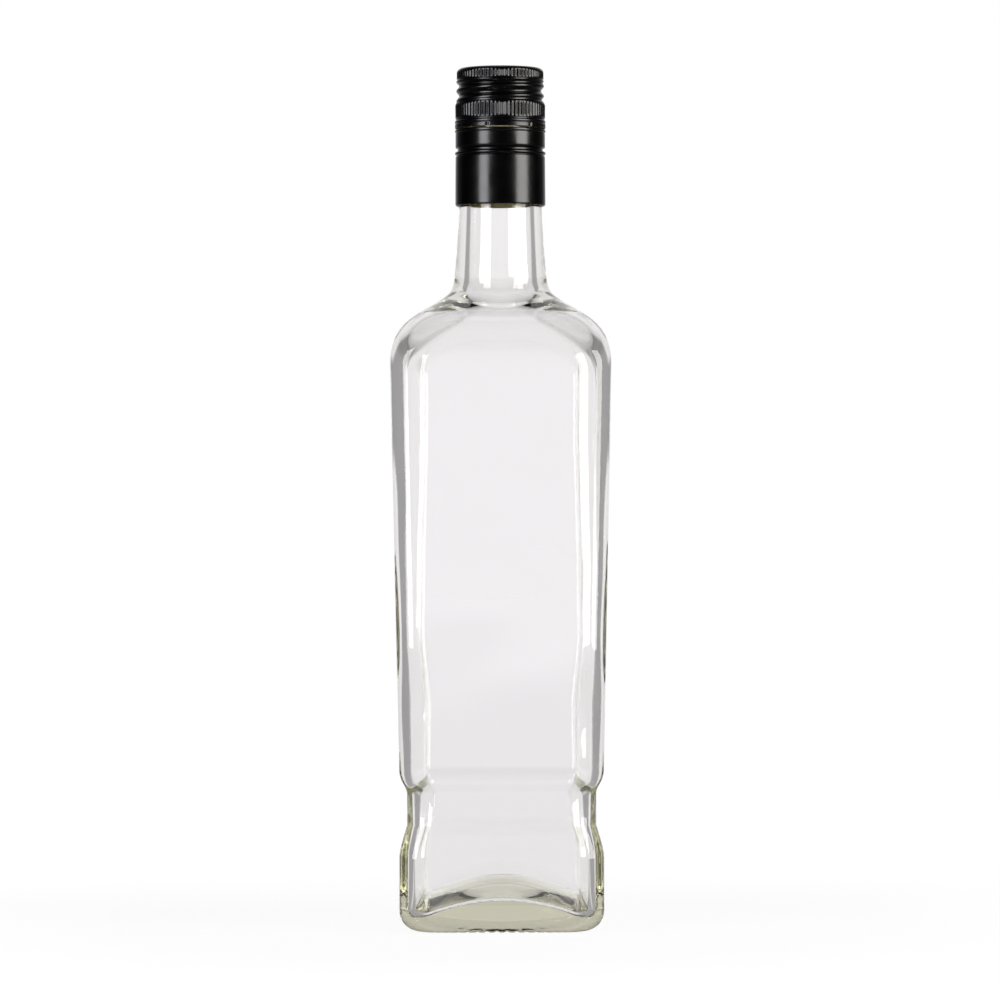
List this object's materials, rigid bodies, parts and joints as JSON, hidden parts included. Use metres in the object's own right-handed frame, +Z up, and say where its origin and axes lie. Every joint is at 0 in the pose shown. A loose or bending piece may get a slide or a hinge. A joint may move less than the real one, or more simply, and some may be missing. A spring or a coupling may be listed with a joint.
{
  "type": "glass bottle",
  "caption": "Square clear-glass bottle with round shoulders, a waist above a thick base, and a long-skirted aluminium screw cap.",
  "frame": {"origin": "centre of the base, on the plane of its bearing ring", "axes": "+Z up the bottle's axis to the closure; X and Y square to the four flat sides, with -Y the front"},
  "size_m": [0.0694, 0.0694, 0.273],
  "materials": {
    "clear_glass": "clear gloss, faintly green where thick",
    "black_aluminium": "satin black lacquer outside, gold lacquer inside",
    "liner_foam": "matte white foam"
  },
  "bodies": {
    "bottle": {"glass_bottle": "clear_glass", "neck_sleeve": "black_aluminium"},
    "cap_seal": {"cap_liner": "liner_foam"},
    "cap": {"screw_cap": "black_aluminium"}
  },
  "joints": [
    {"name": "cap_lift", "type": "slide", "parent": "bottle", "child": "cap_seal", "axis": [0, 0, 1], "range_m": [0, 0.04]},
    {"name": "cap_turn", "type": "hinge", "parent": "cap_seal", "child": "cap", "pos_m": [0, 0, 0.26], "axis": [0, 0, 1], "range_deg": [0, 4500]}
  ],
  "couplings": [
    {"joint": "cap_lift", "follows": "cap_turn", "m_per_rad": 0.0005093}
  ]
}
